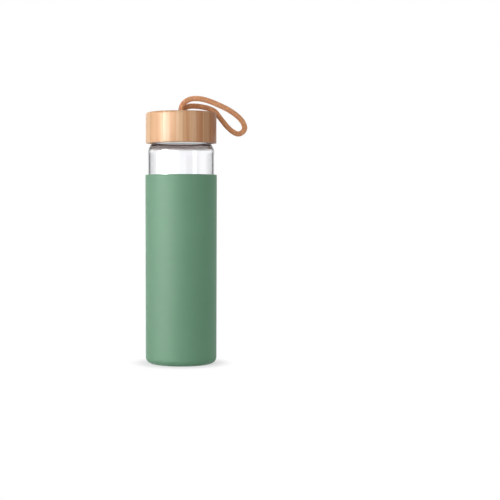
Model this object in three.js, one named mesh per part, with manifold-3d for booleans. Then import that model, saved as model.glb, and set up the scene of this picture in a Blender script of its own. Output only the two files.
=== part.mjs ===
// A glass water bottle in a stretch-fit silicone sleeve, with a screw cap of laminated bamboo
// and a carry loop of braided cord. Millimetres, +Z up, the origin is the middle of the base.
// The axis of every turned piece is Z. The loop hangs over the rim of the cap on the +X side.

import * as THREE from "three";
import { mergeVertices } from "three/addons/utils/BufferGeometryUtils.js";
import Module from "manifold-3d";

// Mesh detail
const roundSegments = 56; // flats round each turned piece
const arcDivisions = 3; // each arc of a profile becomes twice this many straight lines
const weldDistance = 0.001;

// Clearances
const fitGap = 0.3; // between pieces that touch or slide on the real bottle
const sealGap = 0.2; // above and below the uncompressed seal ring
const threadGap = 0.3; // between the ridges of the two threads

// Glass bottle
const bodyRadius = 32;
const bodyHeight = 196.4; // from the foot of the glass to the start of the shoulder
const glassWall = 2.2;
const glassFloor = 3.5;
const pushUp = 1.2; // hollow under the middle of the glass floor
const pushUpRadius = 21;
const footCorner = 4.5; // outer radius between the floor and the wall
const floorCorner = 6; // inner radius between the floor and the wall
const shoulderInset = 4.4; // the neck is this much smaller in radius than the body
const shoulderRise = 10.2;
const neckHeight = 14.1; // from the top of the shoulder to the rim
const neckWall = 2.6;
const rimChamfer = 0.5;

// Screw thread, one start, right-handed
const threadLead = 4.5; // rise in one turn
const threadTurns = 1.4;
const threadHeight = 1.2; // how far a ridge stands proud of its wall
const threadBelowRim = 3; // from the rim down to the upper end of the ridge

// Silicone sleeve
const bareGlass = 18.9; // straight glass that shows between the sleeve and the shoulder
const sleeveFloor = 2.5;
const sleeveWallTop = 2;
const sleeveWallBottom = 1.6;
const sleeveCorner = 5.8; // outer radius at the base
const sleeveLipChamfer = 0.5;
const footRingWidth = 6;
const footRecess = 0.8;
const footRibWidth = 2;
const footRibRadii = [6, 13]; // inner radius of each round rib under the base

// Seal ring and the screw liner inside the cap
const sealThickness = 1.5;
const sealOverhang = 0.8; // the seal reaches this far past the outside of the rim
const linerWall = 1.1;
const linerRoof = 1.6;
const linerInset = 1; // the liner ends this far above the bottom of the cap
const linerThreadMargin = 0.2;
const plugWall = 0.9; // round lip that centres the seal and enters the mouth
const plugInset = 0.7; // how much smaller the lip is than the mouth
const plugDepth = 3;

// Bamboo cap
const capAboveShoulder = 1; // gap under the cap, where the shoulder shows
const bambooWall = 3.4;
const capRoof = 4.5;
const capCorner = 2.4;
const capFootChamfer = 0.5;
const holeChamfer = 0.6;

// Braided cord
const cordDiameter = 5.2;
const strandGap = 0.4; // between the two strands where they pass through the cap
const holeClearance = 0.4;
const knotRadius = 8;
const knotHeight = 7.6;
const pocketRadius = 13; // hollow in the cap that holds the knot
const cordSides = 8;
const cordSteps = 44;

// Route of the loop's centre line, as X, Y and height above the top of the cap. It leaves the hole
// at the front strand, rises, falls outside the cap, turns and comes back over the rim as the
// rear strand.
const loopRoute = [
  [1.2, -3.0, 7.0],
  [4.6, -3.4, 10.6],
  [9.3, -3.6, 12.7],
  [15.1, -3.5, 13.2],
  [21.8, -3.0, 12.3],
  [29.4, -2.0, 9.9],
  [37.2, -0.6, 6.7],
  [45.0, 1.2, 3.0],
  [51.8, 3.0, -1.3],
  [57.2, 4.6, -6.0],
  [60.4, 6.0, -10.7],
  [61.3, 7.0, -15.0],
  [59.3, 8.0, -18.3],
  [55.4, 9.0, -20.0],
  [50.6, 10.0, -18.2],
  [45.3, 10.8, -13.7],
  [40.5, 11.5, -7.9],
  [36.3, 12.0, -2.4],
  [32.4, 12.2, 2.2],
  [27.4, 11.4, 4.6],
  [21.1, 9.6, 6.1],
  [14.2, 7.4, 6.8],
  [8.5, 5.3, 6.6],
  [4.2, 3.8, 5.2],
];

// Levels and radii that follow from the sizes above
const glassFoot = sleeveFloor + fitGap;
const shoulderFoot = glassFoot + bodyHeight;
const neckFoot = shoulderFoot + shoulderRise;
const rim = neckFoot + neckHeight;
const sleeveHeight = shoulderFoot - bareGlass;
const neckRadius = bodyRadius - shoulderInset;
const mouthRadius = neckRadius - neckWall;
const sealBottom = rim + sealGap;
const sealTop = sealBottom + sealThickness;
const linerCeiling = sealTop + sealGap;
const linerTop = linerCeiling + linerRoof;
const capShelf = linerTop + fitGap;
const pocketTop = capShelf + knotHeight + 2 * fitGap;
const capTop = pocketTop + capRoof;
const capFoot = neckFoot + capAboveShoulder;
const linerFoot = capFoot + linerInset;
const linerRadius = neckRadius + threadHeight + threadGap;
const capBore = linerRadius + linerWall + fitGap;
const capRadius = capBore + bambooWall;
const plugRadius = mouthRadius - plugInset;
const cordRadius = cordDiameter / 2;
const strandOffset = cordRadius + strandGap / 2;
const holeRadius = strandOffset + cordRadius + holeClearance;
const swingHeight = capTop + fitGap + cordRadius;
// The two ridges have one round section, and this radius leaves threadGap between them half a
// turn's rise apart.
const halfLead = threadLead / 2;
const ridgeRadius = (threadHeight ** 2 + halfLead ** 2) / (4 * threadHeight) - threadGap / 2;
const threadFoot = rim - threadBelowRim - threadTurns * threadLead;

const wasm = await Module();
wasm.setup();

// A closed geometry as a solid that can be joined and cut.
function solidOf(geometry) {
  const bare = geometry.clone();
  bare.deleteAttribute("normal");
  bare.deleteAttribute("uv");
  const welded = mergeVertices(bare, weldDistance);
  const mesh = new wasm.Mesh({
    numProp: 3,
    vertProperties: welded.attributes.position.array,
    triVerts: new Uint32Array(welded.index.array),
  });
  return new wasm.Manifold(mesh);
}

function geometryOf(solid) {
  const mesh = solid.getMesh();
  const geometry = new THREE.BufferGeometry();
  geometry.setAttribute("position", new THREE.BufferAttribute(mesh.vertProperties, 3));
  geometry.setIndex(new THREE.BufferAttribute(mesh.triVerts, 1));
  geometry.computeVertexNormals();
  return geometry;
}

// Joins closed geometries into one.
function joined(...geometries) {
  return geometryOf(geometries.map(solidOf).reduce((whole, piece) => whole.add(piece)));
}

// Turns an outline of radius and height about the Z axis.
function turned(outline) {
  const profile = outline.getPoints(arcDivisions);
  return new THREE.LatheGeometry(profile, roundSegments).rotateX(Math.PI / 2);
}

// A round bar bent along a curve, with flat ends. An arc of n divisions has 2n sides.
function bentBar(curve, radius, sides, steps) {
  const section = new THREE.Shape().absarc(0, 0, radius, 0, 2 * Math.PI);
  return new THREE.ExtrudeGeometry(section, {
    extrudePath: curve,
    curveSegments: sides / 2,
    steps,
    bevelEnabled: false,
  });
}

// A right-handed helix about Z. Turn 0 is at +X, and the height there is foot.
class Helix extends THREE.Curve {
  constructor(radius, foot, firstTurn, lastTurn) {
    super();
    Object.assign(this, { radius, foot, firstTurn, lastTurn });
  }

  getPoint(t, target = new THREE.Vector3()) {
    const turn = THREE.MathUtils.lerp(this.firstTurn, this.lastTurn, t);
    const angle = 2 * Math.PI * turn;
    const x = this.radius * Math.cos(angle);
    const y = this.radius * Math.sin(angle);
    return target.set(x, y, this.foot + threadLead * turn);
  }
}

function threadRidge(radius, foot, firstTurn) {
  const helix = new Helix(radius, foot, firstTurn, firstTurn + threadTurns);
  return bentBar(helix, ridgeRadius, 8, Math.round(36 * threadTurns));
}

// A closed cup with round corners, a tapered wall and a recessed underside with round ribs.
function sleeveShape() {
  const outerBottom = bodyRadius + fitGap + sleeveWallBottom;
  const outerTop = bodyRadius + fitGap + sleeveWallTop;
  const inner = bodyRadius + fitGap;
  const ringInner = outerBottom - sleeveCorner - footRingWidth;
  const outline = new THREE.Path();
  outline.moveTo(0, footRecess);
  for (const ribInner of footRibRadii) {
    outline.lineTo(ribInner, footRecess);
    outline.lineTo(ribInner, 0);
    outline.lineTo(ribInner + footRibWidth, 0);
    outline.lineTo(ribInner + footRibWidth, footRecess);
  }
  outline.lineTo(ringInner, footRecess);
  outline.lineTo(ringInner, 0);
  outline.absarc(outerBottom - sleeveCorner, sleeveCorner, sleeveCorner, -Math.PI / 2, 0, false);
  outline.lineTo(outerTop, sleeveHeight - sleeveLipChamfer);
  outline.lineTo(outerTop - sleeveLipChamfer, sleeveHeight);
  outline.lineTo(inner, sleeveHeight);
  const innerCorner = footCorner + fitGap;
  outline.absarc(bodyRadius - footCorner, glassFoot + footCorner, innerCorner, 0, -Math.PI / 2, true);
  outline.lineTo(0, sleeveFloor);
  return turned(outline);
}

// A straight tube with a pushed-up floor, a round shoulder and a threaded neck.
function bottleShape() {
  const inner = bodyRadius - glassWall;
  const innerRise = shoulderRise - glassWall;
  const floorTop = glassFoot + glassFloor;
  const outline = new THREE.Path();
  outline.moveTo(0, glassFoot + pushUp);
  outline.lineTo(pushUpRadius, glassFoot);
  outline.absarc(bodyRadius - footCorner, glassFoot + footCorner, footCorner, -Math.PI / 2, 0, false);
  outline.absellipse(neckRadius, shoulderFoot, shoulderInset, shoulderRise, 0, Math.PI / 2, false);
  outline.lineTo(neckRadius, rim - rimChamfer);
  outline.lineTo(neckRadius - rimChamfer, rim);
  outline.lineTo(mouthRadius + rimChamfer, rim);
  outline.lineTo(mouthRadius, rim - rimChamfer);
  outline.absellipse(mouthRadius, shoulderFoot, inner - mouthRadius, innerRise, Math.PI / 2, 0, true);
  outline.absarc(inner - floorCorner, floorTop + floorCorner, floorCorner, 0, -Math.PI / 2, true);
  outline.lineTo(0, floorTop);
  const ridge = threadRidge(neckRadius + threadHeight - ridgeRadius, threadFoot, 0);
  return joined(turned(outline), ridge);
}

function sealShape() {
  const inner = plugRadius + fitGap;
  const outer = neckRadius + sealOverhang;
  const outline = new THREE.Path();
  outline.moveTo(inner, sealBottom);
  outline.lineTo(outer, sealBottom);
  outline.lineTo(outer, sealTop);
  outline.lineTo(inner, sealTop);
  outline.closePath();
  return turned(outline);
}

// The threaded insert that is fixed in the cap, with a lip that centres the seal.
function linerShape() {
  const outer = linerRadius + linerWall;
  const outline = new THREE.Path();
  outline.moveTo(0, linerCeiling);
  outline.lineTo(plugRadius - plugWall, linerCeiling);
  outline.lineTo(plugRadius - plugWall, linerCeiling - plugDepth);
  outline.lineTo(plugRadius, linerCeiling - plugDepth);
  outline.lineTo(plugRadius, linerCeiling);
  outline.lineTo(linerRadius, linerCeiling);
  outline.lineTo(linerRadius, linerFoot);
  outline.lineTo(outer, linerFoot);
  outline.lineTo(outer, linerTop);
  outline.lineTo(0, linerTop);
  const foot = threadFoot - halfLead;
  const firstTurn = (linerFoot + ridgeRadius + linerThreadMargin - foot) / threadLead;
  const ridge = threadRidge(linerRadius - threadHeight + ridgeRadius, foot, firstTurn);
  return joined(turned(outline), trimmedToLiner(ridge));
}

// Trims a thread ridge so that its back stays buried in the middle of the liner's wall.
function trimmedToLiner(ridge) {
  const height = linerTop - linerFoot;
  const radius = linerRadius + linerWall / 2;
  const core = new THREE.CylinderGeometry(radius, radius, height, roundSegments);
  core.rotateX(Math.PI / 2).translate(0, 0, linerFoot + height / 2);
  return geometryOf(solidOf(ridge).intersect(solidOf(core)));
}

// A turned block of bamboo, bored for the liner, with a pocket for the knot and a hole for the cord.
function capShape() {
  const outline = new THREE.Path();
  outline.moveTo(capBore, capFoot);
  outline.lineTo(capRadius - capFootChamfer, capFoot);
  outline.lineTo(capRadius, capFoot + capFootChamfer);
  outline.absarc(capRadius - capCorner, capTop - capCorner, capCorner, 0, Math.PI / 2, false);
  outline.lineTo(holeRadius + holeChamfer, capTop);
  outline.lineTo(holeRadius, capTop - holeChamfer);
  outline.lineTo(holeRadius, pocketTop);
  outline.lineTo(pocketRadius, pocketTop);
  outline.lineTo(pocketRadius, capShelf);
  outline.lineTo(capBore, capShelf);
  outline.closePath();
  return turned(outline);
}

// The knot in the pocket and the two strands that rise from it to the top of the cap.
function knotShape() {
  const middle = (capShelf + pocketTop) / 2;
  const knot = new THREE.SphereGeometry(1, 20, 12).rotateX(Math.PI / 2);
  knot.scale(knotRadius, knotRadius, knotHeight / 2).translate(0, 0, middle);
  const length = capTop - middle;
  const strands = [-strandOffset, strandOffset].map((y) => {
    const strand = new THREE.CylinderGeometry(cordRadius, cordRadius, length, 12);
    return strand.rotateX(Math.PI / 2).translate(0, y, middle + length / 2);
  });
  return joined(knot, ...strands);
}

// The free loop, with a round end over each strand so that it can swing about the line
// between them.
function loopShape() {
  const front = new THREE.Vector3(0, -strandOffset, swingHeight);
  const rear = new THREE.Vector3(0, strandOffset, swingHeight);
  const route = loopRoute.map(([x, y, z]) => new THREE.Vector3(x, y, capTop + z));
  const curve = new THREE.CatmullRomCurve3([front, ...route, rear], false, "centripetal");
  const ends = [front, rear].map((end) => {
    const ball = new THREE.SphereGeometry(cordRadius, 12, 8).rotateX(Math.PI / 2);
    return ball.translate(end.x, end.y, end.z);
  });
  return joined(bentBar(curve, cordRadius, cordSides, cordSteps), ...ends);
}

function material(color, roughness, opacity = 1) {
  return new THREE.MeshStandardMaterial({
    color,
    roughness,
    metalness: 0,
    opacity,
    transparent: opacity < 1,
  });
}

function piece(name, geometry, look) {
  const mesh = new THREE.Mesh(geometry, look);
  mesh.name = name;
  return mesh;
}

const bottle = new THREE.Group();
bottle.add(
  piece("silicone_sleeve", sleeveShape(), material("#83a48f", 0.75)),
  piece("glass_bottle", bottleShape(), material("#eef3f4", 0.05, 0.35)),
  piece("seal_ring", sealShape(), material("#e9ecea", 0.5)),
  piece("cap_liner", linerShape(), material("#f3f3ef", 0.4)),
  piece("bamboo_cap", capShape(), material("#dcae82", 0.45)),
  piece("cord_knot", knotShape(), material("#c18a63", 0.85)),
  piece("cord_loop", loopShape(), material("#c18a63", 0.85)),
);

export default bottle;
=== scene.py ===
"""A glass water bottle in a silicone sleeve, with a laminated bamboo cap and a braided carry loop."""

import math
import random

import bmesh
import bpy
import numpy as np
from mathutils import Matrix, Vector


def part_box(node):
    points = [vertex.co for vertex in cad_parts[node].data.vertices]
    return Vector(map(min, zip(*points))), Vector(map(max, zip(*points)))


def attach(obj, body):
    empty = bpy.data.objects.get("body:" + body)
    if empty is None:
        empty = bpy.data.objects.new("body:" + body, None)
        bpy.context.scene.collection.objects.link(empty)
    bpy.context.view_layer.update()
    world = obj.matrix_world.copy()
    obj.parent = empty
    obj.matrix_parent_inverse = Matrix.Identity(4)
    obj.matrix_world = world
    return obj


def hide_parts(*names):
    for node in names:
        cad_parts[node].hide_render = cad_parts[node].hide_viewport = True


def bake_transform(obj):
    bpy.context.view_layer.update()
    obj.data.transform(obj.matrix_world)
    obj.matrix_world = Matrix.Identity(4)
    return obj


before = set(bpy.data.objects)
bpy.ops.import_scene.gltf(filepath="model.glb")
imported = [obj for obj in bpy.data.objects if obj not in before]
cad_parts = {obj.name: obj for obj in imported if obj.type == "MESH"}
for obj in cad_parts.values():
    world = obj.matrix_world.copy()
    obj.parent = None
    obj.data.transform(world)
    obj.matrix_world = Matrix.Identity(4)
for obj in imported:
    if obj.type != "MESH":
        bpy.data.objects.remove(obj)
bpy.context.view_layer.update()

MM = 0.001

# Levels and radii, in millimetres, from the frame's own boxes
glass_low, glass_high = (Vector(corner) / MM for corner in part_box("glass_bottle"))
sleeve_low, sleeve_high = (Vector(corner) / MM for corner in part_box("silicone_sleeve"))
cap_low, cap_high = (Vector(corner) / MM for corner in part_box("bamboo_cap"))
liner_low, liner_high = (Vector(corner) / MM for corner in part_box("cap_liner"))
seal_low, seal_high = (Vector(corner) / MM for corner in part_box("seal_ring"))
knot_low = Vector(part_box("cord_knot")[0]) / MM

GLASS_FOOT, RIM, GLASS_RADIUS = glass_low.z, glass_high.z, glass_high.x
SLEEVE_TOP, SLEEVE_RADIUS = sleeve_high.z, sleeve_high.x
CAP_FOOT, CAP_TOP, CAP_RADIUS = cap_low.z, cap_high.z, cap_high.x
LINER_FOOT, LINER_TOP, LINER_OUTER = liner_low.z, liner_high.z, liner_high.x

# Sizes inside those boxes
FIT_GAP = 0.3
GLASS_WALL = 2.2
GLASS_FLOOR = 3.5
SHOULDER_INSET = 4.4
SHOULDER_RISE = 10.2
NECK_HEIGHT = 14.1
NECK_WALL = 2.6
NECK_RADIUS = GLASS_RADIUS - SHOULDER_INSET
NECK_FOOT = RIM - NECK_HEIGHT
SHOULDER_FOOT = NECK_FOOT - SHOULDER_RISE
MOUTH_RADIUS = NECK_RADIUS - NECK_WALL
THREAD_LEAD = 4.5
THREAD_TURNS = 1.4
THREAD_HEIGHT = 1.2
THREAD_TOP = RIM - 3
LINER_WALL = 1.1
LINER_INNER = LINER_OUTER - LINER_WALL
PLUG_RADIUS = MOUTH_RADIUS - 0.7
POCKET_RADIUS = 13
POCKET_TOP = CAP_TOP - 4.5
CORD_RADIUS = 2.6
STRAND_OFFSET = 2.8
HOLE_RADIUS = STRAND_OFFSET + CORD_RADIUS + 0.4

# The same route as the loop's solid: X, Y and height above the top of the cap, in metres
LOOP_ROUTE = [
    (0.0012, -0.0030, 0.0070),
    (0.0046, -0.0034, 0.0106),
    (0.0093, -0.0036, 0.0127),
    (0.0151, -0.0035, 0.0132),
    (0.0218, -0.0030, 0.0123),
    (0.0294, -0.0020, 0.0099),
    (0.0372, -0.0006, 0.0067),
    (0.0450, 0.0012, 0.0030),
    (0.0518, 0.0030, -0.0013),
    (0.0572, 0.0046, -0.0060),
    (0.0604, 0.0060, -0.0107),
    (0.0613, 0.0070, -0.0150),
    (0.0593, 0.0080, -0.0183),
    (0.0554, 0.0090, -0.0200),
    (0.0506, 0.0100, -0.0182),
    (0.0453, 0.0108, -0.0137),
    (0.0405, 0.0115, -0.0079),
    (0.0363, 0.0120, -0.0024),
    (0.0324, 0.0122, 0.0022),
    (0.0274, 0.0114, 0.0046),
    (0.0211, 0.0096, 0.0061),
    (0.0142, 0.0074, 0.0068),
    (0.0085, 0.0053, 0.0066),
    (0.0042, 0.0038, 0.0052),
]


# ---------------------------------------------------------------- camera


def add_camera():
    """A level camera at the height of the upper half of the sleeve, with the bottle left of the middle."""
    distance = 1.174
    eye_height = 0.1515
    picture_width = 0.480
    data = bpy.data.cameras.new("camera")
    data.sensor_width = 36
    data.lens = data.sensor_width * distance / picture_width
    data.shift_x = 0.0661 / picture_width
    data.shift_y = -0.0434 / picture_width
    data.clip_start = 0.01
    camera = bpy.data.objects.new("camera", data)
    camera.location = (0, -distance, eye_height)
    camera.rotation_euler = (math.radians(90), 0, 0)
    bpy.context.collection.objects.link(camera)
    bpy.context.scene.camera = camera


# ---------------------------------------------------------------- shader helpers


class Nodes:
    """Short ways to add nodes to a material or group and to link them."""

    def __init__(self, tree):
        self.tree = tree

    def add(self, kind, inputs=None, **settings):
        node = self.tree.nodes.new(kind)
        for name, value in settings.items():
            setattr(node, name, value)
        for name, value in (inputs or {}).items():
            self.put(node.inputs[name], value)
        return node

    def put(self, socket, value):
        if isinstance(value, bpy.types.NodeSocket):
            self.tree.links.new(value, socket)
        else:
            socket.default_value = value

    def math(self, operation, *values):
        node = self.add("ShaderNodeMath", operation=operation)
        for socket, value in zip(node.inputs, values):
            self.put(socket, value)
        return node.outputs[0]

    def ramp(self, factor, *stops):
        node = self.add("ShaderNodeValToRGB", {"Fac": factor})
        elements = node.color_ramp.elements
        while len(elements) < len(stops):
            elements.new(0.5)
        for element, (position, color) in zip(elements, stops):
            element.position = position
            element.color = (*color, 1)
        return node.outputs["Color"]

    def mix(self, factor, a, b, blend="MIX"):
        node = self.add("ShaderNodeMix", data_type="RGBA", blend_type=blend)
        for index, value in ((0, factor), (6, a), (7, b)):
            self.put(node.inputs[index], value)
        return node.outputs[2]

    def noise(self, vector, scale, detail=3.0, roughness=0.5, dimensions="3D"):
        node = self.add(
            "ShaderNodeTexNoise",
            {"Vector": vector, "Scale": scale, "Detail": detail, "Roughness": roughness},
            noise_dimensions=dimensions,
        )
        return node.outputs["Fac"]

    def stretched(self, vector, scale):
        node = self.add("ShaderNodeMapping", {"Vector": vector, "Scale": scale})
        return node.outputs["Vector"]


def new_material(name):
    material = bpy.data.materials.new(name)
    material.use_nodes = True
    nodes = Nodes(material.node_tree)
    shader = material.node_tree.nodes["Principled BSDF"]
    place = nodes.add("ShaderNodeTexCoord").outputs["Object"]
    return material, nodes, shader, place


def shader_group(name, inputs, outputs):
    """A node group with named number inputs and (kind, name) outputs."""
    tree = bpy.data.node_groups.new(name, "ShaderNodeTree")
    for label, kind, value in inputs:
        socket = tree.interface.new_socket(label, in_out="INPUT", socket_type="NodeSocket" + kind)
        if value is not None:
            socket.default_value = value
    for label, kind in outputs:
        tree.interface.new_socket(label, in_out="OUTPUT", socket_type="NodeSocket" + kind)
    nodes = Nodes(tree)
    source = nodes.add("NodeGroupInput").outputs
    sink = nodes.add("NodeGroupOutput").inputs
    return tree, nodes, source, sink


def skin_group():
    """Fine surface unevenness: a small height for Bump and a slow wander for Roughness."""
    tree, nodes, source, sink = shader_group(
        "surface_skin",
        [("Vector", "Vector", None), ("Grain Scale", "Float", 900.0), ("Patch Scale", "Float", 40.0)],
        [("Height", "Float"), ("Patches", "Float")],
    )
    nodes.put(sink["Height"], nodes.noise(source["Vector"], source["Grain Scale"], 2.0))
    nodes.put(sink["Patches"], nodes.noise(source["Vector"], source["Patch Scale"], 3.0))
    return tree


SKIN = skin_group()


def skin(nodes, place, grain_scale, patch_scale):
    """Adds the surface_skin group and returns its height and patch outputs."""
    node = nodes.add("ShaderNodeGroup", node_tree=SKIN)
    nodes.put(node.inputs["Vector"], place)
    node.inputs["Grain Scale"].default_value = grain_scale
    node.inputs["Patch Scale"].default_value = patch_scale
    return node.outputs["Height"], node.outputs["Patches"]


def bump(nodes, shader, height, strength, distance):
    node = nodes.add("ShaderNodeBump", {"Height": height, "Strength": strength, "Distance": distance})
    nodes.put(shader.inputs["Normal"], node.outputs["Normal"])


def between(nodes, value, low, high, start=0.0, end=1.0, smooth=False):
    """Spreads a value of start to end over low to high, and holds it beyond them."""
    node = nodes.add(
        "ShaderNodeMapRange",
        {"Value": value, "From Min": start, "From Max": end, "To Min": low, "To Max": high},
        interpolation_type="SMOOTHSTEP" if smooth else "LINEAR",
    )
    return node.outputs["Result"]


def mix_into_surface(material_nodes, factor, shader, other):
    """Sends a mix of two shaders to the material's surface."""
    mixer = material_nodes.add("ShaderNodeMixShader", {"Fac": factor})
    material_nodes.put(mixer.inputs[1], shader)
    material_nodes.put(mixer.inputs[2], other)
    output = material_nodes.tree.nodes["Material Output"]
    material_nodes.put(output.inputs["Surface"], mixer.outputs["Shader"])


def seen_rays(nodes, path):
    """1 for the rays that show a surface: straight from the camera, mirrored, or through glass."""
    indirect = nodes.math("MAXIMUM", path["Is Glossy Ray"], path["Is Transmission Ray"])
    return nodes.math("MAXIMUM", path["Is Camera Ray"], indirect)


# ---------------------------------------------------------------- materials


def silicone_material():
    """Sage silicone: matte, with a soft bloom, faint mottling and a fine moulded grain."""
    material, nodes, shader, place = new_material("sage_silicone")
    height, patches = skin(nodes, place, 1400.0, 26.0)
    color = nodes.ramp(patches, (0.3, (0.108, 0.250, 0.149)), (0.7, (0.118, 0.266, 0.161)))
    specks = nodes.noise(place, 2600.0, 1.0)
    dust = nodes.ramp(specks, (0.74, (0, 0, 0)), (0.82, (1, 1, 1)))
    color = nodes.mix(nodes.math("MULTIPLY", dust, 0.10), color, (0.62, 0.70, 0.65, 1))
    nodes.put(shader.inputs["Base Color"], color)
    nodes.put(shader.inputs["Roughness"], between(nodes, patches, 0.60, 0.70))
    shader.inputs["Specular IOR Level"].default_value = 0.28
    shader.inputs["Sheen Weight"].default_value = 0.15
    shader.inputs["Sheen Roughness"].default_value = 0.45
    shader.inputs["Subsurface Weight"].default_value = 0.4
    shader.inputs["Subsurface Radius"].default_value = (0.0007, 0.0016, 0.0009)
    shader.inputs["Subsurface Scale"].default_value = 1.0
    bump(nodes, shader, height, 0.25, 0.00004)
    return material


def glass_material():
    """Clear borosilicate glass, with the faintest film that wanders over it."""
    material, nodes, shader, place = new_material("clear_glass")
    _, patches = skin(nodes, place, 700.0, 30.0)
    nodes.put(shader.inputs["Base Color"], nodes.ramp(
        patches, (0.3, (0.975, 0.978, 0.992)), (0.7, (0.985, 0.987, 0.997))))
    nodes.put(shader.inputs["Roughness"], between(nodes, patches, 0.0, 0.012))
    shader.inputs["IOR"].default_value = 1.47
    shader.inputs["Transmission Weight"].default_value = 1.0
    # Light that reaches a surface through the glass goes straight on, so the inside isn't left dark.
    path = nodes.add("ShaderNodeLightPath").outputs
    passes = nodes.math("MAXIMUM", path["Is Shadow Ray"], path["Is Diffuse Ray"])
    clear = nodes.add("ShaderNodeBsdfTransparent", {"Color": (0.95, 0.95, 0.96, 1)})
    mix_into_surface(nodes, passes, shader.outputs["BSDF"], clear.outputs["BSDF"])
    return material


STRIP_WIDTH = 0.0062
STRIP_START = 0.0535  # where the strips are counted from, in metres to the left of the axis
FIRST_STRIP = 7.0  # picks which strips come out light and which dark


def bamboo_group():
    """Laminated bamboo with upright fibres: strips side by side along X, streaks along Z, and
    bundle dots where the fibres end."""
    tree, nodes, source, sink = shader_group(
        "laminated_bamboo",
        [("Vector", "Vector", None), ("Strip Width", "Float", STRIP_WIDTH)],
        [("Color", "Color"), ("Streaks", "Float"), ("Dots", "Float"), ("Joints", "Float")],
    )
    vector = source["Vector"]
    axes = nodes.add("ShaderNodeSeparateXYZ", {"Vector": vector}).outputs
    wander = nodes.noise(nodes.stretched(vector, (30.0, 30.0, 12.0)), 1.0, 2.0)
    shifted = nodes.math("ADD", axes["X"], nodes.math("MULTIPLY", wander, 0.0012))
    lane = nodes.math("DIVIDE", nodes.math("ADD", shifted, STRIP_START), source["Strip Width"])
    number = nodes.math("ADD", nodes.math("FLOOR", lane), FIRST_STRIP)
    inside = nodes.math("FRACT", lane)
    tone = nodes.add("ShaderNodeTexWhiteNoise", {"W": number}, noise_dimensions="1D").outputs["Value"]
    # Partly painted shade: the strips darken a little towards +X, from one side of the board to the other,
    # standing in both for the shade on that side of the cap and for the strips' own tone.
    side = between(nodes, axes["X"], 0.0, 1.0, -0.030, 0.034)
    fibres = nodes.noise(nodes.stretched(vector, (1500.0, 1500.0, 26.0)), 1.0, 4.0, 0.6)
    streaks = nodes.noise(nodes.stretched(vector, (420.0, 420.0, 9.0)), 1.0, 3.0, 0.55)
    base = nodes.ramp(tone, (0.0, (0.700, 0.385, 0.190)), (0.45, (0.800, 0.490, 0.280)),
                      (1.0, (0.900, 0.640, 0.420)))
    side_tone_and_shade = nodes.mix(side, (1, 1, 1, 1), (0.50, 0.38, 0.29, 1))
    color = nodes.mix(1.0, base, side_tone_and_shade, "MULTIPLY")
    streaked = nodes.ramp(streaks, (0.30, (0.82, 0.74, 0.66)), (0.62, (1.0, 1.0, 1.0)))
    color = nodes.mix(0.95, color, streaked, "MULTIPLY")
    fibred = nodes.ramp(fibres, (0.32, (0.86, 0.80, 0.74)), (0.60, (1.0, 1.0, 1.0)))
    color = nodes.mix(0.75, color, fibred, "MULTIPLY")
    edge = nodes.math("MINIMUM", inside, nodes.math("SUBTRACT", 1.0, inside))
    joint = between(nodes, edge, 1.0, 0.0, 0.0, 0.03)
    color = nodes.mix(nodes.math("MULTIPLY", joint, 0.28), color, (0.40, 0.22, 0.11, 1))
    bundles = nodes.add("ShaderNodeTexVoronoi", {
        "Vector": nodes.stretched(vector, (1250.0, 1250.0, 14.0)), "Scale": 1.0,
    }).outputs["Distance"]
    dots = between(nodes, bundles, 1.0, 0.0, 0.12, 0.34)
    nodes.put(sink["Color"], color)
    nodes.put(sink["Streaks"], fibres)
    nodes.put(sink["Dots"], dots)
    nodes.put(sink["Joints"], joint)
    return tree


def bamboo_material():
    """Lacquered bamboo: end grain with dark bundles on flat faces, streaks on the turned side."""
    material, nodes, shader, place = new_material("lacquered_bamboo")
    wood = nodes.add("ShaderNodeGroup", node_tree=bamboo_group())
    nodes.put(wood.inputs["Vector"], place)
    wood.inputs["Strip Width"].default_value = STRIP_WIDTH
    normal = nodes.add("ShaderNodeNewGeometry").outputs["Normal"]
    upward = nodes.add("ShaderNodeSeparateXYZ", {"Vector": normal}).outputs["Z"]
    flat = between(nodes, nodes.math("ABSOLUTE", upward), 0.0, 1.0, 0.75, 0.97)
    dots = nodes.math("MULTIPLY", wood.outputs["Dots"], flat)
    color = nodes.mix(nodes.math("MULTIPLY", dots, 0.45), wood.outputs["Color"], (0.30, 0.155, 0.075, 1))
    nodes.put(shader.inputs["Base Color"], color)
    height, patches = skin(nodes, place, 500.0, 60.0)
    rough = nodes.math("ADD", between(nodes, patches, 0.34, 0.44),
                       nodes.math("MULTIPLY", wood.outputs["Streaks"], 0.06))
    nodes.put(shader.inputs["Roughness"], rough)
    shader.inputs["Specular IOR Level"].default_value = 0.14
    shader.inputs["Coat Weight"].default_value = 0.16
    shader.inputs["Coat Roughness"].default_value = 0.28
    relief = nodes.math("SUBTRACT", wood.outputs["Streaks"],
                        nodes.math("MULTIPLY", wood.outputs["Joints"], 0.6))
    relief = nodes.math("SUBTRACT", relief, nodes.math("MULTIPLY", dots, 0.5))
    bump(nodes, shader, nodes.math("ADD", relief, nodes.math("MULTIPLY", height, 0.2)), 0.35, 0.00008)
    return material


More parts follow.
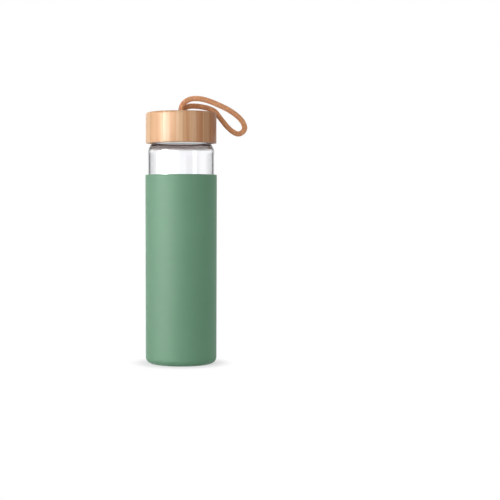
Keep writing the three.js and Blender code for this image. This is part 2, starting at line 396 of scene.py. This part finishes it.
def cord_material():
    """Tan braided yarn: each strand has its own tone, with twisted fibres along it."""
    material, nodes, shader, place = new_material("tan_braid")
    tone = nodes.add("ShaderNodeAttribute", attribute_name="strand_tone").outputs["Fac"]
    depth = nodes.add("ShaderNodeAttribute", attribute_name="strand_depth").outputs["Fac"]
    weave = nodes.add("ShaderNodeUVMap", uv_map="weave").outputs["UV"]
    twist = nodes.add("ShaderNodeTexWave", {
        "Vector": nodes.stretched(weave, (1.0, 2.0, 1.0)), "Scale": 1.0, "Distortion": 1.2,
        "Detail": 2.0, "Detail Scale": 2.0,
    }, bands_direction="DIAGONAL").outputs["Fac"]
    color = nodes.ramp(tone, (0.0, (0.66, 0.290, 0.125)), (0.5, (0.77, 0.375, 0.172)),
                       (1.0, (0.90, 0.490, 0.250)))
    fuzz = nodes.noise(place, 5200.0, 2.0)
    color = nodes.mix(between(nodes, twist, 0.30, 0.0), color, (0.42, 0.150, 0.05, 1))
    color = nodes.mix(nodes.math("MULTIPLY", fuzz, 0.18), color, (0.95, 0.62, 0.38, 1))
    # Painted shade: the yarns darken where they dip under their neighbours, and the core between them is
    # darkest.
    shade = nodes.math("MAXIMUM", between(nodes, depth, 1.10, -0.45), 0.0)
    color = nodes.mix(shade, color, (0.20, 0.065, 0.02, 1))
    nodes.put(shader.inputs["Base Color"], color)
    nodes.put(shader.inputs["Roughness"], between(nodes, fuzz, 0.62, 0.80))
    shader.inputs["Specular IOR Level"].default_value = 0.3
    shader.inputs["Sheen Weight"].default_value = 0.12
    shader.inputs["Sheen Roughness"].default_value = 0.4
    bump(nodes, shader, nodes.math("ADD", twist, nodes.math("MULTIPLY", fuzz, 0.4)), 0.5, 0.00008)
    return material


def liner_material():
    """Warm off-white moulded polypropylene, waxy and slightly uneven."""
    material, nodes, shader, place = new_material("blush_liner")
    height, patches = skin(nodes, place, 1100.0, 55.0)
    nodes.put(shader.inputs["Base Color"], nodes.ramp(
        patches, (0.3, (0.86, 0.70, 0.67)), (0.7, (0.90, 0.75, 0.72))))
    nodes.put(shader.inputs["Roughness"], between(nodes, patches, 0.30, 0.42))
    shader.inputs["Subsurface Weight"].default_value = 0.12
    shader.inputs["Subsurface Radius"].default_value = (0.002, 0.002, 0.0018)
    shader.inputs["Subsurface Scale"].default_value = 1.0
    bump(nodes, shader, height, 0.2, 0.00004)
    return material


def seal_material():
    """Rose silicone with a slightly tacky, uneven gloss."""
    material, nodes, shader, place = new_material("rose_seal")
    height, patches = skin(nodes, place, 1300.0, 90.0)
    nodes.put(shader.inputs["Base Color"], nodes.ramp(
        patches, (0.3, (0.66, 0.33, 0.31)), (0.7, (0.72, 0.38, 0.36))))
    nodes.put(shader.inputs["Roughness"], between(nodes, patches, 0.34, 0.50))
    bump(nodes, shader, height, 0.3, 0.00005)
    return material


# ---------------------------------------------------------------- turned pieces


def arc(radius, height, size, first, last, count=8, rise=None):
    """Points of an arc about (radius, height), from one angle in degrees to another."""
    rise = size if rise is None else rise
    angles = (math.radians(first + (last - first) * i / count) for i in range(count + 1))
    return [(radius + size * math.cos(a), height + rise * math.sin(a)) for a in angles]


def straight(start, end, count):
    """Points from start to end, both included, for a wall that is shaped later."""
    return [
        (start[0] + (end[0] - start[0]) * i / count, start[1] + (end[1] - start[1]) * i / count)
        for i in range(count + 1)
    ]


def finish_mesh(bm, name, material, sharp_angle=35):
    mesh = bpy.data.meshes.new(name)
    bm.to_mesh(mesh)
    bm.free()
    mesh.shade_smooth()
    mesh.set_sharp_from_angle(angle=math.radians(sharp_angle))
    mesh.materials.append(material)
    piece = bpy.data.objects.new(name, mesh)
    bpy.context.collection.objects.link(piece)
    return piece


def turned(outline, steps=160, closed=False):
    """Spins an outline of (radius, height) in millimetres about Z. A closed outline makes a ring."""
    bm = bmesh.new()
    points = [bm.verts.new((max(radius, 0) * MM, 0, height * MM)) for radius, height in outline]
    edges = [bm.edges.new(pair) for pair in zip(points, points[1:])]
    if closed:
        edges.append(bm.edges.new((points[-1], points[0])))
    bmesh.ops.spin(
        bm, geom=points + edges, cent=(0, 0, 0), axis=(0, 0, 1), dvec=(0, 0, 0),
        angle=2 * math.pi, steps=steps, use_merge=True,
    )
    bmesh.ops.remove_doubles(bm, verts=bm.verts, dist=2e-6)
    bmesh.ops.recalc_face_normals(bm, faces=bm.faces)
    return bm


def ridge_height(x, y, z, foot, first_turn):
    """How far a one-start thread stands out at a place, in millimetres. It fades out at both ends."""
    half_width = 1.45
    fade = 0.07
    turn = math.atan2(y, x) / (2 * math.pi) % 1
    best = 0.0
    for whole in range(-1, 4):
        along = turn + whole - first_turn
        off = z - foot - THREAD_LEAD * (turn + whole)
        if -0.001 <= along <= THREAD_TURNS + 0.001 and abs(off) < half_width:
            swell = min(1.0, max(0.0, min(along, THREAD_TURNS - along)) / fade)
            shape = math.cos(off / half_width * math.pi / 2) ** 0.75
            best = max(best, shape * math.sin(swell * math.pi / 2))
    return best * THREAD_HEIGHT


def raise_thread(bm, wall_radius, low, high, foot, first_turn, outward):
    """Moves the wall at wall_radius out or in where the thread's ridge runs."""
    for vert in bm.verts:
        x, y, z = vert.co / MM
        radius = math.hypot(x, y)
        if abs(radius - wall_radius) < 0.02 and low <= z <= high:
            height = ridge_height(x, y, z, foot, first_turn)
            scale = (radius + outward * height) / radius
            vert.co.x *= scale
            vert.co.y *= scale


def make_bottle(material):
    foot_corner, floor_corner, push_up = 4.5, 6.0, 1.2
    inner = GLASS_RADIUS - GLASS_WALL
    floor_top = GLASS_FOOT + GLASS_FLOOR
    bead = NECK_WALL / 2
    outline = [(0, GLASS_FOOT + push_up), (8, GLASS_FOOT + push_up * 0.9), (16, GLASS_FOOT + push_up * 0.35)]
    outline += arc(GLASS_RADIUS - foot_corner - 3, GLASS_FOOT + 0.6, 0.6, -110, -90, 2)
    outline += arc(GLASS_RADIUS - foot_corner, GLASS_FOOT + foot_corner, foot_corner, -90, 0, 12)
    outline += arc(NECK_RADIUS, SHOULDER_FOOT, SHOULDER_INSET, 0, 82, 20, SHOULDER_RISE)
    outline += arc(NECK_RADIUS + 0.9, NECK_FOOT + 0.85, 0.9, 228, 180, 5)
    outline += straight((NECK_RADIUS, NECK_FOOT + 1.1), (NECK_RADIUS, RIM - bead - 0.2), 44)
    outline += arc(NECK_RADIUS - bead, RIM - bead, bead, 0, 180, 14)
    outline += arc(MOUTH_RADIUS, SHOULDER_FOOT, inner - MOUTH_RADIUS, 90, 0, 20, SHOULDER_RISE - GLASS_WALL)
    outline += arc(inner - floor_corner, floor_top + floor_corner, floor_corner, 0, -90, 12)
    outline += [(12, floor_top - 0.05), (0, floor_top)]
    bm = turned(outline, 192)
    thread_foot = THREAD_TOP - THREAD_TURNS * THREAD_LEAD
    raise_thread(bm, NECK_RADIUS, NECK_FOOT + 1.0, RIM - bead - 0.1, thread_foot, 0.0, 1)
    piece = finish_mesh(bm, "glass_body", material, 60)
    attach(piece, "bottle")
    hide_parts("glass_bottle")


def make_sleeve(material):
    corner, wall_top, wall_foot, floor = 5.8, 2.0, 1.6, 2.5
    inner = GLASS_RADIUS + FIT_GAP
    outer_foot = inner + wall_foot
    outer_top = inner + wall_top
    inner_corner = 4.5 + FIT_GAP
    recess, lip = 0.8, 0.55
    rib_width, rib_root, rib_edge, ring_width = 2, 0.2, 0.15, 6

    def step_down(radius):
        """From the recess down to the standing level, at a radius."""
        return [(radius - rib_root, recess), (radius, recess - rib_root),
                (radius, rib_edge), (radius + rib_edge, 0)]

    outline = [(0, recess)]
    for rib in (6, 13):
        far = rib + rib_width
        outline += step_down(rib)
        outline += [(far - rib_edge, 0), (far, rib_edge), (far, recess - rib_root), (far + rib_root, recess)]
    outline += step_down(outer_foot - corner - ring_width)
    outline += arc(outer_foot - corner, corner, corner, -90, 0, 14)
    outline += straight((outer_foot, corner + 2), (outer_top, SLEEVE_TOP - 3), 12)
    outline += arc(outer_top - lip, SLEEVE_TOP - lip, lip, 0, 90, 5)
    outline += arc(inner + lip * 0.7, SLEEVE_TOP - lip * 0.7, lip * 0.7, 90, 180, 4)
    outline += arc(GLASS_RADIUS - 4.5, GLASS_FOOT + 4.5, inner_corner, 0, -90, 10)
    outline += [(0, floor)]
    piece = finish_mesh(turned(outline, 160), "sleeve_skin", material)
    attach(piece, "sleeve")
    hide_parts("silicone_sleeve")


def make_cap(material):
    fillet, foot_edge, hole_edge, lead_in = 2.4, 0.5, 0.6, 0.3
    bore = LINER_OUTER + FIT_GAP
    shelf = LINER_TOP + FIT_GAP
    outline = [(bore, CAP_FOOT + lead_in), (bore + lead_in, CAP_FOOT)]
    outline += arc(CAP_RADIUS - foot_edge, CAP_FOOT + foot_edge, foot_edge, -90, 0, 4)
    outline += arc(CAP_RADIUS - fillet, CAP_TOP - fillet, fillet, 0, 90, 10)
    outline += arc(HOLE_RADIUS + hole_edge, CAP_TOP - hole_edge, hole_edge, 90, 180, 5)
    outline += [(HOLE_RADIUS, POCKET_TOP), (POCKET_RADIUS, POCKET_TOP), (POCKET_RADIUS, shelf), (bore, shelf)]
    piece = finish_mesh(turned(outline, 160, closed=True), "bamboo_shell", material)
    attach(piece, "cap")
    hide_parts("bamboo_cap")


def make_liner(material):
    ceiling = seal_high.z + 0.2
    plug_inner, plug_foot = PLUG_RADIUS - 0.9, ceiling - 3
    outline = [(0, ceiling), (plug_inner, ceiling)]
    outline += arc((plug_inner + PLUG_RADIUS) / 2, plug_foot + 0.45, 0.45, 180, 360, 6)
    outline += [(PLUG_RADIUS, ceiling), (LINER_INNER - 0.6, ceiling)]
    outline += arc(LINER_INNER - 0.6, ceiling - 0.6, 0.6, 90, 0, 4)[1:]
    outline += straight((LINER_INNER, ceiling - 1.2), (LINER_INNER, LINER_FOOT + 0.4), 44)
    outline += arc((LINER_INNER + LINER_OUTER) / 2, LINER_FOOT + LINER_WALL / 2, LINER_WALL / 2, 180, 360, 6)
    outline += arc(LINER_OUTER - 0.5, LINER_TOP - 0.5, 0.5, 0, 90, 4)
    outline += [(0, LINER_TOP)]
    bm = turned(outline, 160)
    foot = THREAD_TOP - THREAD_TURNS * THREAD_LEAD - THREAD_LEAD / 2
    first_turn = (LINER_FOOT + 1.4 - foot) / THREAD_LEAD
    raise_thread(bm, LINER_INNER, LINER_FOOT + 0.3, ceiling - 1.1, foot, first_turn, -1)
    piece = finish_mesh(bm, "liner_cup", material)
    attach(piece, "cap")
    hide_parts("cap_liner")


def make_seal(material):
    edge = 0.45
    inner, outer = PLUG_RADIUS + FIT_GAP, seal_high.x
    low, high = seal_low.z, seal_high.z
    corners = [(outer - edge, low + edge), (outer - edge, high - edge),
               (inner + edge, high - edge), (inner + edge, low + edge)]
    outline = []
    for (radius, height), first in zip(corners, (-90, 0, 90, 180)):
        outline += arc(radius, height, edge, first, first + 90, 4)
    piece = finish_mesh(turned(outline, 160, closed=True), "seal_band", material)
    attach(piece, "seal")
    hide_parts("seal_ring")


# ---------------------------------------------------------------- cord


CORE_SIDES = 12
CORE_STEP = 4  # the core has a ring at every fourth point of the route
CORE_TONE = 0.2
YARN_SIDES = 6
WEAVE_STEP = 0.09  # how far the weave's map runs from one ring of a yarn to the next


def smooth_route(points, spacing):
    """A centripetal Catmull-Rom curve through points, sampled at an even spacing."""
    points = [np.array(p, float) for p in points]
    ends = [2 * points[0] - points[1], *points, 2 * points[-1] - points[-2]]
    fine = []
    for p0, p1, p2, p3 in zip(ends, ends[1:], ends[2:], ends[3:]):
        t1 = np.linalg.norm(p1 - p0) ** 0.5
        t2 = t1 + np.linalg.norm(p2 - p1) ** 0.5
        t3 = t2 + np.linalg.norm(p3 - p2) ** 0.5
        for t in np.linspace(t1, t2, 24, endpoint=False):
            a1 = (t1 - t) / t1 * p0 + t / t1 * p1
            a2 = (t2 - t) / (t2 - t1) * p1 + (t - t1) / (t2 - t1) * p2
            a3 = (t3 - t) / (t3 - t2) * p2 + (t - t2) / (t3 - t2) * p3
            b1 = (t2 - t) / t2 * a1 + t / t2 * a2
            b2 = (t3 - t) / (t3 - t1) * a2 + (t - t1) / (t3 - t1) * a3
            fine.append((t2 - t) / (t2 - t1) * b1 + (t - t1) / (t2 - t1) * b2)
    fine = np.array([*fine, points[-1]])
    steps = np.linalg.norm(np.diff(fine, axis=0), axis=1)
    reach = np.concatenate([[0], np.cumsum(steps)])
    places = np.linspace(0, reach[-1], max(2, round(reach[-1] / spacing)) + 1)
    return np.stack([np.interp(places, reach, fine[:, k]) for k in range(3)], axis=1), reach[-1]


def frames_along(route):
    """Two side directions at each point, carried along without twist."""
    tangents = np.gradient(route, axis=0)
    tangents /= np.linalg.norm(tangents, axis=1)[:, None]
    side = np.cross(tangents[0], (0.0, 1.0, 0.0))
    if np.linalg.norm(side) < 0.1:
        side = np.cross(tangents[0], (1.0, 0.0, 0.0))
    sides = []
    for tangent in tangents:
        side = side - tangent * (side @ tangent)
        side = side / np.linalg.norm(side)
        sides.append(side)
    sides = np.array(sides)
    return sides, np.cross(tangents, sides)


def add_tube(bm, rings, tone, depths, layers):
    """Skins a list of rings of points, closes its ends flat, and stores tone and depth."""
    tone_layer, depth_layer, weave_layer = layers
    rows = []
    for ring, depth in zip(rings, depths):
        row = [bm.verts.new(point) for point in ring]
        for vert in row:
            vert[tone_layer] = tone
            vert[depth_layer] = depth
        rows.append(row)
    count = len(rows[0])
    for index, (row, following) in enumerate(zip(rows, rows[1:])):
        for k in range(count):
            after = (k + 1) % count
            face = bm.faces.new((row[k], row[after], following[after], following[k]))
            for loop, (u, v) in zip(face.loops, ((k, 0), (k + 1, 0), (k + 1, 1), (k, 1))):
                loop[weave_layer].uv = ((index + v) * WEAVE_STEP, u / count)
    bm.faces.new(rows[0][::-1])
    bm.faces.new(rows[-1])


def braided_cord(name, route, radius, carriers, lay, material):
    """A tubular braid of yarns that pass over two and under two, round a plain core."""
    half = carriers // 2
    yarn_thick, yarn_wide, lift = radius * 0.155, radius * 0.195, radius * 0.155
    middle = radius - yarn_thick - lift
    sides, ups = frames_along(route)
    reach = np.concatenate([[0], np.cumsum(np.linalg.norm(np.diff(route, axis=0), axis=1))])
    turn_rate = 2 * math.pi / lay
    bm = bmesh.new()
    layers = (
        bm.verts.layers.float.new("strand_tone"),
        bm.verts.layers.float.new("strand_depth"),
        bm.loops.layers.uv.new("weave"),
    )
    shades = random.Random(7)
    core_angles = np.linspace(0, 2 * math.pi, CORE_SIDES, endpoint=False)
    picks = list(range(0, len(route), CORE_STEP))
    if picks[-1] != len(route) - 1:
        picks.append(len(route) - 1)
    rings = [
        [route[i] + (sides[i] * math.cos(a) + ups[i] * math.sin(a)) * (middle - 0.5 * yarn_thick)
         for a in core_angles]
        for i in picks
    ]
    add_tube(bm, rings, CORE_TONE, [0.0] * len(rings), layers)
    section = np.linspace(0, 2 * math.pi, YARN_SIDES, endpoint=False)
    for direction in (1, -1):
        for number in range(half):
            angle = 2 * math.pi * number / half + direction * turn_rate * reach
            crossing = half * turn_rate * reach / math.pi
            phase = math.pi / 2 * (2 * number + direction * crossing - 0.5)
            wave = direction * np.cos(phase)
            out = sides * np.cos(angle)[:, None] + ups * np.sin(angle)[:, None]
            centre = route + out * (middle + lift * wave)[:, None]
            along = np.gradient(centre, axis=0)
            along /= np.linalg.norm(along, axis=1)[:, None]
            across = np.cross(along, out)
            across /= np.linalg.norm(across, axis=1)[:, None]
            rings = [
                [c + a * yarn_wide * math.cos(s) + o * yarn_thick * math.sin(s) for s in section]
                for c, a, o in zip(centre, across, out)
            ]
            add_tube(bm, rings, shades.random(), 0.5 + 0.5 * wave, layers)
    bmesh.ops.recalc_face_normals(bm, faces=bm.faces)
    return finish_mesh(bm, name, material, 80)


def make_cord(material):
    """One length of cord: up through the cap, round the loop and back, with its knot in the pocket."""
    cap_top = CAP_TOP * MM
    offset = STRAND_OFFSET * MM
    swing_height = cap_top + (FIT_GAP + CORD_RADIUS) * MM
    knot_top = POCKET_TOP * MM
    points = [(0, -offset, knot_top), (0, -offset, cap_top), (0, -offset, swing_height)]
    points += [(x, y, cap_top + z) for x, y, z in LOOP_ROUTE]
    points += [(0, offset, swing_height), (0, offset, cap_top), (0, offset, knot_top)]
    route, length = smooth_route(points, 0.00022)
    cord = braided_cord("carry_cord", route, 1.04 * CORD_RADIUS * MM, 16, 0.0108, material)
    middle = (knot_low.z + POCKET_TOP - FIT_GAP) / 2 * MM
    size = 2.0 * MM
    turns = [2 * math.pi * i / 36 for i in range(37)]
    knot_points = [
        (size * (math.sin(t) + 2 * math.sin(2 * t)), size * (math.cos(t) - 2 * math.cos(2 * t)),
         middle - 0.95 * size * math.sin(3 * t))
        for t in turns
    ]
    knot_route, _ = smooth_route(knot_points, 0.0005)
    knot = braided_cord("stopper_knot", knot_route, 1.85 * MM, 12, 0.012, material)
    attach(knot, "knot")
    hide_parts("cord_knot")
    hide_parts("cord_loop")
    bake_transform(cord)


# ---------------------------------------------------------------- surroundings


AMBIENT = 0.60  # the world's level where it lights the object
FLAG_LEVEL = 0.03  # the level of the dark flags that draw the edge of the glass
FLOOR_LEVEL = -0.0002  # just below the foot, so that the two don't coincide
LAMP_AIM = Vector((0, 0, 0.14))
LAMP_PEAK = 6.6  # makes up for the fall towards the lamp's edges


def add_floor():
    """A white floor. It shows as plain white away from the bottle and keeps the soft shadow under it."""
    bm = bmesh.new()
    bmesh.ops.create_grid(bm, x_segments=1, y_segments=1, size=6.0)
    material, nodes, shader, place = new_material("white_floor")
    shader.inputs["Base Color"].default_value = (0.86, 0.86, 0.86, 1)
    shader.inputs["Roughness"].default_value = 0.9
    shader.inputs["Specular IOR Level"].default_value = 0.0
    path = nodes.add("ShaderNodeLightPath").outputs
    seen = seen_rays(nodes, path)
    radius = nodes.add("ShaderNodeVectorMath", {"Vector": place}, operation="LENGTH").outputs["Value"]
    away = between(nodes, radius, 0.6, 1.0, 0.034, 0.052, smooth=True)
    white = nodes.add("ShaderNodeEmission", {"Color": (1, 1, 1, 1), "Strength": 1.0})
    mix_into_surface(nodes, nodes.math("MULTIPLY", seen, away), shader.outputs["BSDF"],
                     white.outputs["Emission"])
    floor = finish_mesh(bm, "floor", material)
    floor.location.z = FLOOR_LEVEL


def add_world():
    """White where it is seen, and a plain soft level where it lights the object. Rays that turn back
    inside the glass wall see darker flags, a quarter turn apart, which draws the edge of the glass."""
    world = bpy.data.worlds.new("studio")
    world.use_nodes = True
    bpy.context.scene.world = world
    nodes = Nodes(world.node_tree)
    background = world.node_tree.nodes["Background"]
    path = nodes.add("ShaderNodeLightPath").outputs
    seen = seen_rays(nodes, path)
    level = nodes.add("ShaderNodeMix", {0: seen, 2: AMBIENT, 3: 1.0}, data_type="FLOAT").outputs[0]
    direction = nodes.add("ShaderNodeTexCoord").outputs["Generated"]
    axes = nodes.add("ShaderNodeSeparateXYZ", {"Vector": direction}).outputs
    ahead = nodes.math("MAXIMUM", nodes.math("ABSOLUTE", axes["X"]), nodes.math("ABSOLUTE", axes["Y"]))
    tilted = between(nodes, nodes.math("ABSOLUTE", axes["Z"]), 0.0, 1.0, 0.12, 0.30, smooth=True)
    level_flag = between(nodes, ahead, FLAG_LEVEL, 1.0, math.cos(math.radians(22)),
                         math.cos(math.radians(16)), smooth=True)
    flag = nodes.math("MAXIMUM", level_flag, tilted)
    bounced = nodes.math("GREATER_THAN", path["Glossy Depth"], 0.5)
    through = nodes.math("GREATER_THAN", path["Transmission Depth"], 0.5)
    edge = nodes.math("MULTIPLY", bounced, through)
    shade = nodes.add("ShaderNodeMix", {0: edge, 2: 1.0, 3: flag}, data_type="FLOAT").outputs[0]
    nodes.put(background.inputs["Strength"], nodes.math("MULTIPLY", level, shade))
    background.inputs["Color"].default_value = (1, 1, 1, 1)


def add_softbox(name, azimuth, height, distance, width, tall, power, only_gloss=False):
    """An upright soft light aimed at the bottle, brightest along its middle. Azimuth 0 is in front and
    positive to the right. A light that is only gloss shows in shiny surfaces and lights nothing else."""
    data = bpy.data.lights.new(name, "AREA")
    data.shape = "RECTANGLE"
    data.size, data.size_y = width, tall
    data.energy = power
    data.use_nodes = True
    nodes = Nodes(data.node_tree)
    place = nodes.add("ShaderNodeSeparateXYZ", {
        "Vector": nodes.add("ShaderNodeNewGeometry").outputs["Parametric"],
    }).outputs
    across = nodes.math("MULTIPLY", place["X"], nodes.math("SUBTRACT", 1.0, place["X"]))
    along = nodes.math("MULTIPLY", place["Y"], nodes.math("SUBTRACT", 1.0, place["Y"]))
    along = nodes.math("MINIMUM", nodes.math("MULTIPLY", along, 8.0), 1.0)
    fall = nodes.math("MULTIPLY", across, along)
    nodes.put(data.node_tree.nodes["Emission"].inputs["Strength"], nodes.math("MULTIPLY", fall, LAMP_PEAK))
    light = bpy.data.objects.new(name, data)
    angle = math.radians(azimuth)
    light.location = (distance * math.sin(angle), -distance * math.cos(angle), height)
    aim = LAMP_AIM - light.location
    light.rotation_euler = aim.to_track_quat("-Z", "Y").to_euler()
    light.visible_camera = False
    light.visible_transmission = False
    light.visible_diffuse = not only_gloss
    bpy.context.collection.objects.link(light)


def add_lights():
    add_softbox("key_softbox", -50, 0.25, 1.2, 0.34, 0.8, 5.2)
    add_softbox("broad_fill", -20, 0.75, 1.8, 1.4, 1.0, 6.0)
    add_softbox("right_strip", 52, 0.25, 1.3, 0.22, 0.8, 0.9)
    add_softbox("key_gleam", -60, 0.25, 1.2, 0.54, 0.9, 22.0, only_gloss=True)
    add_softbox("side_gleam", -50, 0.20, 1.2, 2.4, 1.1, 66.0, only_gloss=True)
    add_softbox("right_gleam", 46, 0.25, 1.3, 0.34, 0.9, 4.0, only_gloss=True)


# ---------------------------------------------------------------- the scene

bpy.context.scene.view_settings.view_transform = "Standard"
add_camera()
make_cord(cord_material())
make_bottle(glass_material())
make_sleeve(silicone_material())
make_cap(bamboo_material())
make_liner(liner_material())
make_seal(seal_material())
add_floor()
add_world()
add_lights()
